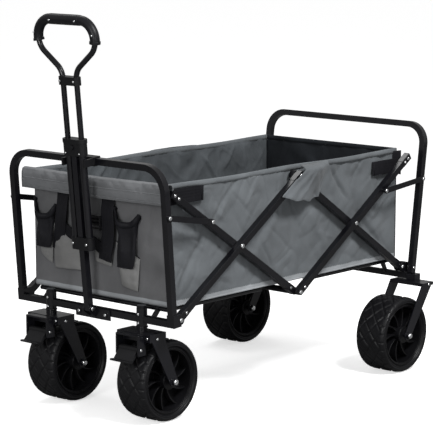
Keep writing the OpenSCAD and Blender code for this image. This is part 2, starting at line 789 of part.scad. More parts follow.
module handle_loop() color(black) wagon() in_handle() {
  for (m = [0, 1]) mirror([0, m, 0]) loop_half(leg_r);
  translate([0, -corner_y() - 0.4, corner_z() + loop_r2]) ycyl(leg_r, 2 * corner_y() + 0.8);
}

module handle_clamp() color(plastic) wagon() in_handle() {
  difference() {
    translate([0, 0, clamp_w]) stadium(10.4, leg_y, 20);
    for (s = [-1, 1]) translate([0, s * leg_y, clamp_w - 1]) cylinder(r = leg_r + 0.05, h = 30);
    // room for the start of the legs' flare
    for (s = [-1, 1]) translate([0, s * (leg_y + 0.3), 559]) cylinder(r = leg_r + 0.7, h = 10);
  }
  for (y = [-leg_y, leg_y]) translate([-10.2, y, clamp_w + 10]) rotate([0, -90, 0])
    cylinder(r = 3.8, h = 1.8);
}

// two-part soft grip round the top of the loop
module handle_grip() color(plastic) wagon() in_handle() difference() {
  union() {
    for (m = [0, 1]) mirror([0, m, 0]) {
      translate([0, corner_y(), corner_z()]) rotate([90, 0, 90])
        rotate([0, 0, -8]) rotate_extrude(angle = 98, $fn = 96)
          translate([loop_r2, 0]) circle(r = 11.8, $fn = 40);
      // flange at the grip's end
      translate([0, corner_y() + loop_r2 * cos(8), corner_z() - loop_r2 * sin(8)])
        rotate([-8, 0, 0]) translate([0, 0, -3]) cylinder(r = 13.4, h = 6);
    }
    translate([0, -corner_y() - 0.6, corner_z() + loop_r2]) ycyl(12.6, 2 * corner_y() + 1.2);
  }
  for (m = [0, 1]) mirror([0, m, 0]) translate([0, corner_y(), corner_z()]) rotate([90, 0, 90])
    rotate([0, 0, -30]) rotate_extrude(angle = 120, $fn = 96)
      translate([loop_r2, 0]) circle(r = leg_r + 0.09, $fn = 48);
  translate([0, -corner_y() - 0.4, corner_z() + loop_r2]) ycyl(leg_r + 0.05, 2 * corner_y() + 0.8);
}

front_frame();
front_crossbar();
handle_bracket();
handle_clip();
front_panel();
front_cuff();
cup_pouch_left();
cup_pouch_right();
organizer_straps();
side_panel_left();
side_panel_right();
side_webbing_left();
side_webbing_right();
tub_floor();
floor_mat();
front_bar_left();
front_bar_right();
front_cross_bar_left();
front_cross_bar_right();
middle_tube();
rear_bar_left();
rear_bar_right();
rear_cross_bar_left();
rear_cross_bar_right();
rear_frame();
rear_crossbar();
rear_panel();
rear_fork_left();
rear_fork_right();
front_link_left();
front_link_right();
rear_link_left();
rear_link_right();
front_floor_frame();
rear_floor_frame();
caster_fork_left();
caster_fork_right();
brake_pedal_left();
brake_pedal_right();
front_hub_left();
front_rim_left();
front_hub_right();
front_rim_right();
front_tyre_left();
front_tyre_right();
rear_hub_left();
rear_rim_left();
rear_hub_right();
rear_rim_right();
rear_tyre_left();
rear_tyre_right();
handle_stem();
handle_guides();
handle_block();
handle_collar();
handle_button();
handle_loop();
handle_clamp();
handle_grip();
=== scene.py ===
import json
import math

import bpy
from mathutils import Matrix, Vector, noise


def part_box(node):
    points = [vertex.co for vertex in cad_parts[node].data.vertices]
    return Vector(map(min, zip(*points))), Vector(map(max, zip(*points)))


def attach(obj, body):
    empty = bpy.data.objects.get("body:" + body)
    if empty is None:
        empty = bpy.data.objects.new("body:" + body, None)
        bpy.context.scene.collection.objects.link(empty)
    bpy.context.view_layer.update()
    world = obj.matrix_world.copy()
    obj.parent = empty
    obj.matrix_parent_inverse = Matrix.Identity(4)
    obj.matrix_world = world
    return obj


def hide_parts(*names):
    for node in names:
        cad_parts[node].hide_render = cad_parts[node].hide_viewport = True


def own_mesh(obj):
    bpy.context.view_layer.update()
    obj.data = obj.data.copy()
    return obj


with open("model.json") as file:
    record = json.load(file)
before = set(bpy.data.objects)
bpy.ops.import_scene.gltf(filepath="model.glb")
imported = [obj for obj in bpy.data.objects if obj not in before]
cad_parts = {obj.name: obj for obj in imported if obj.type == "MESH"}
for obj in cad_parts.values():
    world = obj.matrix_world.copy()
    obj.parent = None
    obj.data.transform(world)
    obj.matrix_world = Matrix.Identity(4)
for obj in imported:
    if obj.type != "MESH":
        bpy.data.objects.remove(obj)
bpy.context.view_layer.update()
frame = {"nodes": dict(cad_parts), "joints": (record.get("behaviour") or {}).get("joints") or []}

TAU = 2 * math.pi
JOINTS = {joint["name"]: joint for joint in frame["joints"]}
SHIFT = JOINTS["fold"]["pos_m"][0] + 0.446  # the tub's own middle, along X


def mm(x, y, z):
    """A point given in millimetres from the tub's own middle."""
    return Vector((x / 1000 + SHIFT, y / 1000, z / 1000))


# ---------- camera, lights, world ----------
def place_camera():
    """The camera whose picture of the frame, bars and wheels agrees with the photo."""
    data = bpy.data.cameras.new("camera")
    data.sensor_width = 36
    data.lens = 172.82
    data.shift_x = 0.0551
    data.shift_y = 0.1251
    data.clip_end = 50
    camera = bpy.data.objects.new("camera", data)
    bpy.context.scene.collection.objects.link(camera)
    right = Vector((0.67062111, -0.74179481, -0.00279224))
    up = Vector((0.13966284, 0.12256386, 0.98258455))
    back = right.cross(up)
    turn = Matrix((right, up, back)).transposed().to_4x4()
    camera.matrix_world = Matrix.Translation(mm(-3960.34, -3481.73, 1284.57)) @ turn
    bpy.context.scene.camera = camera


def area_light(name, place, aim, size, power):
    data = bpy.data.lights.new(name, "AREA")
    data.shape = "RECTANGLE"
    data.size, data.size_y = size
    data.energy = power
    ob = bpy.data.objects.new(name, data)
    bpy.context.scene.collection.objects.link(ob)
    ob.location = place
    ob.rotation_euler = (Vector(aim) - Vector(place)).to_track_quat("-Z", "Y").to_euler()


def by_ray(tree, ray, others, camera, socket):
    """Gives a socket one value for what the camera sees and another for all other rays."""
    blend = tree.nodes.new("ShaderNodeMapRange")
    blend.inputs["To Min"].default_value = others
    blend.inputs["To Max"].default_value = camera
    tree.links.new(ray.outputs["Is Camera Ray"], blend.inputs["Value"])
    tree.links.new(blend.outputs["Result"], socket)


def studio_world():
    """Seen as pure white, but lighting the wagon more softly."""
    world = bpy.data.worlds.new("studio")
    world.use_nodes = True
    tree = world.node_tree
    background = tree.nodes["Background"]
    background.inputs["Color"].default_value = (1, 1, 1, 1)
    ray = tree.nodes.new("ShaderNodeLightPath")
    by_ray(tree, ray, 0.42, 1.02, background.inputs["Strength"])
    bpy.context.scene.world = world
    bpy.context.scene.view_settings.view_transform = "Standard"


place_camera()
area_light("key", (-0.5, -2.7, 3.2), (0, 0, 0.35), (0.8, 0.8), 134)
area_light("low_left", (-1.9, -2.9, 0.7), (0, 0, 0.4), (0.5, 0.5), 9)
area_light("front_fill", (-3.3, -1.0, 1.3), (-0.3, 0, 0.4), (1.0, 1.0), 38)
area_light("back_top", (0.8, 1.6, 3.0), (0, 0, 0.4), (1.6, 0.8), 16)
studio_world()


# ---------- materials ----------
def new_material(name, colour, rough, metallic=0.0, coat=0.0, sheen=0.0, specular=0.5):
    material = bpy.data.materials.new(name)
    material.use_nodes = True
    shader = material.node_tree.nodes["Principled BSDF"]
    shader.inputs["Base Color"].default_value = (*colour, 1)
    shader.inputs["Roughness"].default_value = rough
    shader.inputs["Metallic"].default_value = metallic
    shader.inputs["Coat Weight"].default_value = coat
    shader.inputs["Coat Roughness"].default_value = 0.2
    shader.inputs["Sheen Weight"].default_value = sheen
    shader.inputs["Specular IOR Level"].default_value = specular
    material.diffuse_color = (*colour, 1)
    return material, material.node_tree, shader


def node(tree, kind, **values):
    """A new node; each value goes to the socket of that name, or else to the property."""
    new = tree.nodes.new(kind)
    for key, value in values.items():
        if key in new.inputs:
            new.inputs[key].default_value = value
        else:
            setattr(new, key, value)
    return new


def mottle(tree, shader, colour, low, high, scale):
    """Base colour that wanders between low and high times the colour."""
    place = node(tree, "ShaderNodeTexCoord")
    cloud = node(tree, "ShaderNodeTexNoise", Scale=scale, Detail=5)
    tree.links.new(place.outputs["Object"], cloud.inputs["Vector"])
    ramp = node(tree, "ShaderNodeValToRGB")
    dark, light = ramp.color_ramp.elements[0], ramp.color_ramp.elements[1]
    dark.position = 0.3
    light.position = 0.7
    dark.color = (*[c * low for c in colour], 1)
    light.color = (*[min(1, c * high) for c in colour], 1)
    tree.links.new(cloud.outputs["Fac"], ramp.inputs["Fac"])
    tree.links.new(ramp.outputs["Color"], shader.inputs["Base Color"])
    return place


def rough_wander(tree, shader, place, low, high, scale):
    """Roughness that wanders between low and high."""
    cloud = node(tree, "ShaderNodeTexNoise", Scale=scale, Detail=4)
    tree.links.new(place.outputs["Object"], cloud.inputs["Vector"])
    spread = node(tree, "ShaderNodeMapRange")
    spread.inputs["From Min"].default_value = 0.3
    spread.inputs["From Max"].default_value = 0.7
    spread.inputs["To Min"].default_value = low
    spread.inputs["To Max"].default_value = high
    tree.links.new(cloud.outputs["Fac"], spread.inputs["Value"])
    tree.links.new(spread.outputs["Result"], shader.inputs["Roughness"])


def bump_from(tree, shader, sources, bevel=None):
    """sources: (socket, strength, distance in metres), chained into the normal."""
    last = None
    if bevel:
        last = node(tree, "ShaderNodeBevel", Radius=bevel, samples=4).outputs["Normal"]
    for socket, strength, distance in sources:
        bump = node(tree, "ShaderNodeBump", Strength=strength, Distance=distance)
        tree.links.new(socket, bump.inputs["Height"])
        if last:
            tree.links.new(last, bump.inputs["Normal"])
        last = bump.outputs["Normal"]
    tree.links.new(last, shader.inputs["Normal"])


def cloth_material(name, colour, axes, low=0.9, high=1.1, pitch=0.0011, rough=0.82, sheen=0.08):
    """Plain weave: crossed waves along two axes, over a fine slubby grain and soft wrinkles."""
    material, tree, shader = new_material(name, colour, rough, sheen=sheen, specular=0.15)
    place = mottle(tree, shader, colour, low, high, 9)
    weave = node(tree, "ShaderNodeMath", operation="MULTIPLY")
    for slot, axis in enumerate(axes):
        wave = node(tree, "ShaderNodeTexWave", bands_direction=axis,
                    Scale=TAU / pitch / 20, Distortion=0.6)
        wave.inputs["Detail Scale"].default_value = 2
        tree.links.new(place.outputs["Object"], wave.inputs["Vector"])
        tree.links.new(wave.outputs["Fac"], weave.inputs[slot])
    grain = node(tree, "ShaderNodeTexNoise", Scale=26, Detail=6, Roughness=0.6)
    tree.links.new(place.outputs["Object"], grain.inputs["Vector"])
    wrinkles = node(tree, "ShaderNodeTexNoise", noise_type="RIDGED_MULTIFRACTAL",
                    Scale=6.5, Detail=2, Roughness=0.45, Distortion=0.9)
    tree.links.new(place.outputs["Object"], wrinkles.inputs["Vector"])
    bump_from(tree, shader, [(wrinkles.outputs["Fac"], 1.0, 0.02),
                             (grain.outputs["Fac"], 0.5, 0.003),
                             (weave.outputs["Value"], 0.35, 0.0003)])
    return material


def paint_material(name, colour, rough, coat):
    """Powder coat with its fine orange-peel grain and rounded edges."""
    material, tree, shader = new_material(name, colour, rough, coat=coat, specular=0.12)
    place = mottle(tree, shader, colour, 0.8, 1.3, 14)
    rough_wander(tree, shader, place, rough * 0.8, rough * 1.25, 30)
    peel = node(tree, "ShaderNodeTexNoise", Scale=900, Detail=3)
    tree.links.new(place.outputs["Object"], peel.inputs["Vector"])
    bump_from(tree, shader, [(peel.outputs["Fac"], 0.12, 0.0003)], bevel=0.0026)
    return material


def plastic_material(name, colour, rough, grain=1400, bevel=0.0012):
    """Moulded plastic or rubber with a pebbled grain and rounded edges."""
    material, tree, shader = new_material(name, colour, rough, specular=0.22)
    place = mottle(tree, shader, colour, 0.85, 1.2, 20)
    rough_wander(tree, shader, place, rough * 0.85, rough * 1.2, 60)
    pebbles = node(tree, "ShaderNodeTexVoronoi", Scale=grain)
    tree.links.new(place.outputs["Object"], pebbles.inputs["Vector"])
    bump_from(tree, shader, [(pebbles.outputs["Distance"], 0.15, 0.0002)], bevel=bevel)
    return material


def zinc_material():
    """Bright plated steel of the rivets and bolts."""
    colour = (0.78, 0.79, 0.8)
    material, tree, shader = new_material("zinc_rivet", colour, 0.22, metallic=1.0)
    place = mottle(tree, shader, colour, 0.85, 1.1, 60)
    rough_wander(tree, shader, place, 0.16, 0.32, 200)
    return material


SIDE = cloth_material("side_cloth", (0.126, 0.137, 0.146), ("X", "Z"), 0.8, 1.16)
FRONT = cloth_material("front_cloth", (0.128, 0.129, 0.134), ("Y", "Z"), 0.8, 1.16)
CUFF = cloth_material("cuff_cloth", (0.152, 0.157, 0.164), ("Y", "Z"), 0.8, 1.18)
POCKET = cloth_material("pocket_cloth", (0.190, 0.190, 0.188), ("Y", "Z"), 0.75, 1.2)
FLOOR = cloth_material("floor_cloth", (0.085, 0.088, 0.093), ("X", "Y"))
INSIDE = cloth_material("inside_cloth", (0.078, 0.086, 0.093), ("X", "Z"), 0.6, 1.25, sheen=0.0)
# painted shade: the rear panel's inner face is the same cloth as the other inner faces, painted far
# darker to stand for the shade inside the rear end
REAR_INSIDE_SHADE = cloth_material("rear_inside_painted_shade", (0.014, 0.016, 0.019), ("Y", "Z"), 0.7, 1.3, sheen=0.0)
HEM = cloth_material("hem_cloth", (0.30, 0.315, 0.33), ("X", "Z"), 0.85, 1.1)
DARK = cloth_material("dark_cloth", (0.009, 0.009, 0.011), ("Y", "Z"), 0.8, 1.4,
                      pitch=0.0022, rough=0.75, sheen=0.0)
WEB = cloth_material("webbing", (0.008, 0.008, 0.010), ("X", "Z"), 0.8, 1.4,
                     pitch=0.003, rough=0.6, sheen=0.0)
PAINT = paint_material("powder_coat", (0.0035, 0.0035, 0.005), 0.36, 0.6)
SATIN = paint_material("satin_steel_paint", (0.005, 0.005, 0.007), 0.38, 0.5)
PLASTIC = plastic_material("moulded_plastic", (0.007, 0.007, 0.008), 0.42)
HUB = plastic_material("hub_plastic", (0.006, 0.006, 0.007), 0.34)
GRIP = plastic_material("grip_rubber", (0.008, 0.008, 0.0095), 0.38, grain=700)
TYRE = plastic_material("tyre_rubber", (0.006, 0.006, 0.007), 0.40, grain=500, bevel=0.0016)
ZINC = zinc_material()


def studio_floor():
    """Pale floor: bright to the camera, a dark card to everything that mirrors it."""
    bpy.ops.mesh.primitive_plane_add(size=30, location=(0, 0, -0.0005))
    ground = bpy.context.object
    ground.name = "studio_floor"
    material, tree, shader = new_material("floor_white", (0.93, 0.93, 0.93), 0.9, specular=0.1)
    shader.inputs["Emission Color"].default_value = (1, 1, 1, 1)
    ray = tree.nodes.new("ShaderNodeLightPath")
    by_ray(tree, ray, 0.0, 0.6, shader.inputs["Emission Strength"])
    by_ray(tree, ray, 0.22, 0.93, shader.inputs["Base Color"])
    ground.data.materials.append(material)


studio_floor()


# ---------- numbers and lines ----------
def clamp(t):
    return max(0.0, min(1.0, t))


def window(t, soft):
    """0 at t = 0 and 1, rising to 1 within the share soft from both."""
    return clamp(t / soft) * clamp((1 - t) / soft)


def bell(d, w):
    return math.exp(-(d / w) ** 2)


def fuzz(x, y, z):
    return noise.noise(Vector((x, y, z)))


def ridge(x, y, z, narrow=4):
    """Sharp lines where the noise crosses zero: 1 on the line, 0 away from it."""
    return max(0.0, 1 - narrow * abs(fuzz(x, y, z))) ** 2


def line_distance(x, z, a, b):
    """Signed distance from the line a-b and the place along it, 0 to 1."""
    dx, dz = b[0] - a[0], b[1] - a[1]
    length = math.hypot(dx, dz)
    place = ((x - a[0]) * dx + (z - a[1]) * dz) / length / length
    return ((x - a[0]) * dz - (z - a[1]) * dx) / length, place


def turn(n):
    """Cosine and sine at n even steps round a circle."""
    return [(math.cos(TAU * k / n), math.sin(TAU * k / n)) for k in range(n)]


def circle(r, n):
    return [(r * c, r * s) for c, s in turn(n)]


def flat_section(w, t):
    """Webbing section, w wide along upward and t thick, with woven ribs along both faces."""
    steps = 20
    ribs = [0.12 * t * math.cos(TAU * i / 4) for i in range(steps + 1)]
    near = [(t / 2 + ribs[i], -w / 2 + w * i / steps) for i in range(steps + 1)]
    far = [(-t / 2 - ribs[i], w / 2 - w * i / steps) for i in range(steps + 1)]
    return near + far


def smooth_path(points, n):
    """Catmull-Rom through the points, in n steps for each stretch."""
    out = []
    pts = [points[0]] + list(points) + [points[-1]]
    for i in range(1, len(pts) - 2):
        a, b, c, d = pts[i - 1], pts[i], pts[i + 1], pts[i + 2]
        for k in range(n):
            t = k / n
            square = (2 * a - 5 * b + 4 * c - d) * t * t
            cube = (3 * b - a - 3 * c + d) * t ** 3
            out.append(0.5 * (2 * b + (c - a) * t + square + cube))
    out.append(points[-1])
    return out


def edge_line(f, v, n):
    """Points of the surface f along the height v, in n steps."""
    return [f(k / n, v) for k in range(n + 1)]


def mirrored(f):
    """The surface f with its other face to the front."""
    return lambda u, v: f(1 - u, v)


def outward(f, s):
    """The side surface f with its front looking outwards on side s."""
    return f if s < 0 else mirrored(f)


# ---------- building helpers ----------
def make(name, verts, faces, mats, index=None, smooth=True):
    """A mesh object from points in metres; index says which of mats each face has."""
    mesh = bpy.data.meshes.new(name)
    mesh.from_pydata([tuple(v) for v in verts], [], faces)
    for material in mats:
        mesh.materials.append(material)
    if index:
        mesh.polygons.foreach_set("material_index", index)
    mesh.polygons.foreach_set("use_smooth", [smooth] * len(faces))
    mesh.update()
    ob = bpy.data.objects.new(name, mesh)
    bpy.context.scene.collection.objects.link(ob)
    return ob


def all_front(u, v):
    return 0


def hem_below(height):
    """Third material below this share of the height, first material above it."""
    return lambda u, v: 2 if v < height else 0


def sheet_faces(nu, nv, pick=all_front):
    """Faces of a closed sheet and their materials: front grid, back grid, strip round both."""
    faces, index = [], []
    row = nu + 1
    back = row * (nv + 1)
    for j in range(nv):
        for i in range(nu):
            a = j * row + i
            faces.append((a, a + 1, a + row + 1, a + row))
            index.append(pick((i + 0.5) / nu, (j + 0.5) / nv))
            faces.append((back + a, back + a + row, back + a + row + 1, back + a + 1))
            index.append(1)
    edge = list(range(nu)) + [j * row + nu for j in range(nv)]
    edge += [nv * row + nu - i for i in range(nu)] + [(nv - j) * row for j in range(nv)]
    for k, a in enumerate(edge):
        c = edge[(k + 1) % len(edge)]
        faces.append((a, back + a, back + c, c))
        index.append(0)
    return faces, index


def cloth(name, f, nu, nv, t, mats, pick=all_front):
    """Closed thin sheet round the surface f(u, v), t metres thick. mats: front, back, extras."""
    grid = [edge_line(f, j / nv, nu) for j in range(nv + 1)]
    verts = []
    for side in (1, -1):
        for j in range(nv + 1):
            for i in range(nu + 1):
                du = grid[j][min(i + 1, nu)] - grid[j][max(i - 1, 0)]
                dv = grid[min(j + 1, nv)][i] - grid[max(j - 1, 0)][i]
                normal = du.cross(dv)
                normal = normal.normalized() if normal.length > 1e-12 else Vector((0, 0, 1))
                verts.append(grid[j][i] + normal * (side * t / 2))
    faces, index = sheet_faces(nu, nv, pick)
    return make(name, verts, faces, mats, index)


def sweep(name, path, section, mat, closed=False, upward=Vector((0, 0, 1))):
    """Sweeps a closed section [(a, b)] along path; a goes sideways, b along upward."""
    n = len(path)
    m = len(section)
    verts, faces = [], []
    for i, p in enumerate(path):
        after = path[(i + 1) % n] if closed or i < n - 1 else p
        before = path[i - 1] if closed or i > 0 else p
        ahead = (after - before).normalized()
        sideways = ahead.cross(upward)
        sideways = sideways.normalized() if sideways.length > 1e-6 else Vector((1, 0, 0))
        high = sideways.cross(ahead).normalized()
        verts += [p + sideways * a + high * b for a, b in section]
    for i in range(n if closed else n - 1):
        for k in range(m):
            a, b = i * m + k, i * m + (k + 1) % m
            c, d = ((i + 1) % n) * m + (k + 1) % m, ((i + 1) % n) * m + k
            faces.append((a, b, c, d))
    if not closed:
        faces.append(tuple(reversed(range(m))))
        faces.append(tuple(range((n - 1) * m, n * m)))
    return make(name, verts, faces, [mat])


DOME = [(1.0, 0.0), (1.0, 0.35), (0.86, 0.7), (0.55, 0.94), (0.3, 0.86)]  # share of radius, height
DOME_SIDES = 16


def domes(name, places, body):
    """Rivet and bolt heads: (centre, outward axis, radius, height), one piece for a body."""
    verts, faces = [], []
    for centre, axis, r, h in places:
        axis = Vector(axis).normalized()
        s = axis.orthogonal().normalized()
        w = axis.cross(s)
        base = len(verts)
        for wide, high in DOME:
            for c, d in turn(DOME_SIDES):
                verts.append(centre + (s * c + w * d) * (r * wide) + axis * (h * high))
        for j in range(len(DOME) - 1):
            for k in range(DOME_SIDES):
                a = base + j * DOME_SIDES + k
                b = base + j * DOME_SIDES + (k + 1) % DOME_SIDES
                faces.append((a, b, b + DOME_SIDES, a + DOME_SIDES))
        last = base + (len(DOME) - 1) * DOME_SIDES
        faces.append(tuple(base + k for k in reversed(range(DOME_SIDES))))
        faces.append(tuple(last + k for k in range(DOME_SIDES)))
    ob = make(name, verts, faces, [ZINC])
    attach(ob, body)


def box_mesh(boxes):
    """Points and faces of plain boxes, each given by its lowest and highest corner."""
    verts, faces = [], []
    for lo, hi in boxes:
        base = len(verts)
        for z in (lo[2], hi[2]):
            for y in (lo[1], hi[1]):
                for x in (lo[0], hi[0]):
                    verts.append(mm(x, y, z))
        for q in ((0, 2, 3, 1), (4, 5, 7, 6), (0, 1, 5, 4), (2, 6, 7, 3), (0, 4, 6, 2), (1, 3, 7, 5)):
            faces.append(tuple(base + i for i in q))
    return verts, faces


# ---------- tub cloth ----------
X0, X1 = -446.0, 442.0  # front and rear ends of the tub
TUB = 222.0  # half its width
HEM_Z, RIM_Z = 289, 579.5  # lower and upper edge of the sides
SHEET = 0.0016  # thickness of the cloth, in metres

# a rolled strip over a rim, in metres from the rim's line
BINDING = [(0.0021, -0.0060), (0.0024, 0.0), (0.0021, 0.0050), (0.0009, 0.0066),
           (-0.0009, 0.0066), (-0.0021, 0.0050), (-0.0024, 0.0), (-0.0021, -0.0060)]

# from, to, depth (above 0: outwards) and width
CREASES = [((-190, 578), (-300, 458), -3.4, 9), ((-314, 456), (-416, 312), -4.6, 11),
           ((164, 560), (242, 458), -5.4, 8), ((258, 446), (402, 316), -5.6, 10),
           ((-30, 478), (-196, 312), 2.6, 16), ((52, 486), (176, 322), 2.6, 15),
           ((-440, 486), (-300, 402), 2.8, 9), ((306, 578), (252, 500), -2.8, 7),
           ((-118, 566), (-172, 492), 2.6, 7), ((326, 396), (438, 474), 2.6, 10),
           ((-240, 520), (-262, 470), 2.2, 6), ((-60, 330), (20, 372), -2.0, 9),
           ((100, 400), (190, 372), 1.8, 8), ((-330, 350), (-220, 332), 1.8, 8)]
# the long creases past which the cloth falls inwards at both ends, and on which side of them
FALLS = [((-195, 575), (-412, 318), 1), ((168, 556), (398, 322), -1)]


def crumple(ob):
    """Gives a piece its own copy of its mesh data."""
    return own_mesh(ob)


def side_surface(s):
    """The creased side cloth on side s, u from front to rear and v from hem to rim."""
    def f(u, v):
        x = X0 + 1.5 + (X1 - X0 - 3) * u
        z = HEM_Z + (RIM_Z - HEM_Z) * v
        out = 0.0
        for a, b, depth, w in CREASES:
            d, t = line_distance(x, z, a, b)
            if -0.1 < t < 1.1:
                sharp = 1.25 * depth * window(t, 0.25) * bell(d, 0.7 * w)
                broad = 0.5 * depth * window(t, 0.3) * bell(d, 3.2 * w)
                out += sharp + broad
        for a, b, sign in FALLS:
            d = line_distance(x, z, a, b)[0]
            k = clamp(sign * d / 70)
            out -= 6.5 * k * k * (3 - 2 * k) * window((z - HEM_Z) / 290, 0.2)
        out += 3.4 * fuzz(x * 0.011, z * 0.016, 3 * s) + 1.7 * fuzz(x * 0.035, z * 0.03, 7 * s)
        # sharp small puckers that run down from the rim and up from the hem
        out -= 2.4 * ridge(x * 0.016 + 0.010 * z, z * 0.006 - 0.004 * x, 11 * s)
        out -= 1.8 * ridge(x * 0.013 - 0.012 * z, z * 0.007 + 0.005 * x, 17 * s + 3)
        out *= window(u, 0.03) * window(v, 0.05)
        # gentle sag of the rim between its supports
        z -= 3.0 * v ** 6 * math.sin(math.pi * min(1.0, abs(x + 2) / 444)) ** 2
        out = max(-13, min(3.4, out))
        return mm(x, s * (TUB + 0.8 + out), z)
    return f


def side_panel(word, s, surface):
    panel = cloth(f"side_cloth_{word}", outward(surface, s), 240, 80, SHEET,
                  [SIDE, INSIDE, HEM], hem_below(0.036))
    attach(panel, "front_end")
    return panel


def side_edges(word, surface):
    """Rolled strip over the top edge and piping along the bottom hem."""
    rim = [p + Vector((0, 0, -0.0045)) for p in edge_line(surface, 1.0, 80)]
    band = sweep(f"rim_binding_{word}", rim, BINDING, SIDE)
    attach(band, "front_end")
    crumple(band)
    hem = [p + Vector((0, 0, 0.0005)) for p in edge_line(surface, 0.0, 80)]
    pipe = sweep(f"hem_piping_{word}", hem, circle(0.0026, 8), HEM)
    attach(pipe, "front_end")
    crumple(pipe)


def side_stitches(word, s, surface):
    """Stitches along the hem and the rim, each a three-sided thread."""
    verts, faces = [], []
    seam_length, pitch = 0.885, 0.0070
    n = int(seam_length / pitch)
    proud = Vector((0, s * 0.0012, 0))
    half_wide = Vector((0, 0, 0.0006))
    high = Vector((0, s * 0.0005, 0))
    for height in (0.040, 0.962):
        for k in range(2, n - 2):
            a = len(verts)
            for c in (surface((k + 0.1) / n, height), surface((k + 0.75) / n, height)):
                verts += [c + proud + half_wide, c + proud + high, c + proud - half_wide]
            faces += [(a, a + 1, a + 4, a + 3), (a + 1, a + 2, a + 5, a + 4),
                      (a + 2, a, a + 3, a + 5), (a, a + 2, a + 1), (a + 3, a + 4, a + 5)]
    stitches = make(f"side_stitches_{word}", verts, faces, [HEM])
    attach(stitches, "front_end")
    crumple(stitches)


def joint_hood(word, s):
    """Hood over the middle joint: starts behind the outer bar's edge and dies into the panel."""
    def hood(u, v):
        edge_z = 515 - 67 * u + 52 * u * u + 2.4 * math.sin(19 * u) * math.sin(math.pi * u)
        top_x, low_x = 23 + 129 * u, -79 + 193 * u
        x = top_x + (low_x - top_x) * v ** 0.95
        z = RIM_Z + (edge_z - RIM_Z) * v
        rise = min(1.0, (0.02 + v) / 0.13) ** 0.5
        over = 45.8 + 4.5 * math.sin(math.pi * min(1, u * 1.3))
        fall = 1 - 0.5 * clamp((u - 0.34) / 0.5) ** 1.3
        end = min(1.0, (1 - u) / 0.13) ** 0.7
        pleat = 2.0 * math.sin(34 * u + 3 * v) * math.exp(-3.0 * u) * min(1, 2.5 * v) * min(1, 8 * u)
        pleat += 3.2 * fuzz(x * 0.03, z * 0.02, 4 * s) * min(1, 2 * v)
        pleat -= 3.0 * ridge(x * 0.02 + z * 0.012, z * 0.012, 5 * s) * min(1, 2 * v)
        out = max(1.9, (over * fall + pleat) * rise * end + 1.9 * (1 - end))
        return mm(x, s * (TUB + out), z)
    flap = cloth(f"joint_hood_{word}", outward(lambda u, v: hood(u, 1 - v), s), 44, 26, SHEET,
                 [SIDE, INSIDE])
    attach(flap, "front_end")
    edge = sweep(f"hood_hem_{word}", edge_line(hood, 1.0, 40), circle(0.0013, 8), SIDE)
    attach(edge, "front_end")
    crumple(edge)
    crumple(flap)


def corner_webbing(end, word, s, sewn_x, bar_x, tab_z):
    """Webbing tab near an upper corner: flat on the cloth, then round the crossing bar's end."""
    width = 36
    points = []
    for k in range(25):
        t = k / 24
        y = TUB + 1.6 + 3.6 * min(1, 4 * t) + (2.5 * math.sin(math.pi * t) if t > 0.3 else 0)
        points.append(mm(sewn_x + (bar_x - sewn_x) * t, s * y, tab_z + 2 * math.sin(3 * t)))
    tab = sweep(f"corner_webbing_{end}_{word}", points, flat_section(width / 1000, 0.0020), WEB)
    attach(tab, "front_end")
    crumple(tab)
    # bar tack at the sewn end
    x = sewn_x + (bar_x - sewn_x) * 0.06
    points = [mm(x, s * (TUB + 3.6), tab_z - width * 0.42), mm(x, s * (TUB + 3.9), tab_z),
              mm(x, s * (TUB + 3.6), tab_z + width * 0.42)]
    tack = sweep(f"corner_tack_{end}_{word}", points, circle(0.0011, 6), DARK,
                 upward=Vector((1, 0, 0)))
    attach(tack, "front_end")
    crumple(tack)
    return tab


def corner_gusset(word, s):
    """Dark corner piece between the cloth's rear edge and the crossing bar's end."""
    def gusset(u, v):
        return mm(426 + 30 * u, s * (TUB + 2.4 + 4.4 * u), 516 + 58 * v - 7 * u * (1 - v))
    piece = cloth(f"corner_gusset_{word}", outward(gusset, s), 14, 12, SHEET, [WEB, WEB])
    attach(piece, "front_end")
    crumple(piece)


for s, word in ((-1, "left"), (1, "right")):
    surface = side_surface(s)
    panel = side_panel(word, s, surface)
    side_edges(word, surface)
    side_stitches(word, s, surface)
    joint_hood(word, s)
    crumple(panel)
    front_tab = corner_webbing("front", word, s, -322, -444, 549)
    corner_webbing("rear", word, s, 339, 444, 535)
    corner_gusset(word, s)
    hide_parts(f"side_panel_{word}")
    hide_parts(f"side_webbing_{word}")


def end_surface(x, top, seed, facing):
    """The cloth of one end, u from left to right; its puckers stand out the way it faces."""
    low = 290

    def f(u, v):
        y = -TUB - 2 + (2 * TUB + 4) * u
        z = low + (top - low) * v
        out = 2.6 * fuzz(y * 0.012, z * 0.018, seed) + 1.2 * fuzz(y * 0.05, z * 0.035, seed + 4)
        out -= 2.6 * ridge(y * 0.014 + z * 0.010, z * 0.007, seed + 9)
        out += 2.4 * bell(line_distance(y, z, (-230, 500), (-60, 300))[0], 18) * window(v, 0.2)
        out -= 2.2 * bell(line_distance(y, z, (60, 330), (230, 470))[0], 22) * window(v, 0.2)
        out += 1.6 * bell(z - 0.5 * (low + top) - 0.12 * y, 26)
        out *= window(u, 0.05) * window(v, 0.06)
        return mm(x + facing * out * 0.8, y, z)
    return f


front = cloth("front_cloth", mirrored(end_surface(-446.8, 578, 11, -1)), 80, 50, SHEET,
              [FRONT, INSIDE, HEM], hem_below(0.05))
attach(front, "front_end")
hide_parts("front_panel")
# the rear cloth's inner face carries the painted shade of the rear end
rear = cloth("rear_cloth", end_surface(442.8, 579, 23, 1), 80, 50, SHEET,
             [FRONT, REAR_INSIDE_SHADE, HEM], hem_below(0.05))
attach(rear, "rear_end")
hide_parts("rear_panel")
rear_rim = [mm(443, -223 + 446 * k / 40, 574) for k in range(41)]
# the rear rim's binding is coloured with that painted shade as well
band = sweep("rim_binding_rear", rear_rim, BINDING, REAR_INSIDE_SHADE)
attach(band, "rear_end")


